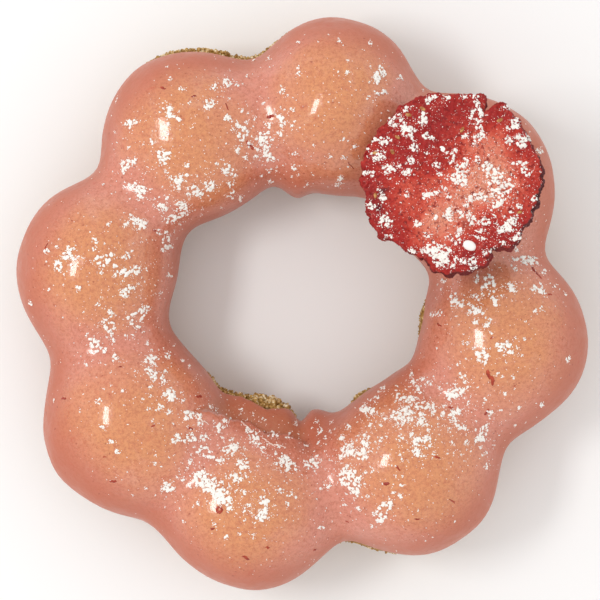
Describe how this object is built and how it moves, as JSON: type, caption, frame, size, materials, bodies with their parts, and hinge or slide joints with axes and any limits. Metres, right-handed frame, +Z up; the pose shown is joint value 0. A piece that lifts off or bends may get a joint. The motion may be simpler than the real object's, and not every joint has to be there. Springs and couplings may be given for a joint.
{
  "type": "ring doughnut",
  "caption": "Ring doughnut of fused dough balls under a glossy pink icing, dusted with sugar and topped with a round slice of dried strawberry.",
  "frame": {"origin": "under the middle of the ring's box, on the surface that the ring lies on", "axes": "+Z up through the ring's hole; +X and +Y lie in the ring's plane, with the strawberry slice between them"},
  "size_m": [0.0952, 0.0956, 0.0327],
  "materials": {
    "fried_dough": "golden-brown fried crust, slightly oily",
    "pink_icing": "glossy, slightly see-through strawberry icing",
    "dried_strawberry": "dry, porous cut fruit with a darker skin"
  },
  "bodies": {
    "root": {"dough_ring": "fried_dough", "icing": "pink_icing", "strawberry_slice": "dried_strawberry"}
  },
  "joints": []
}
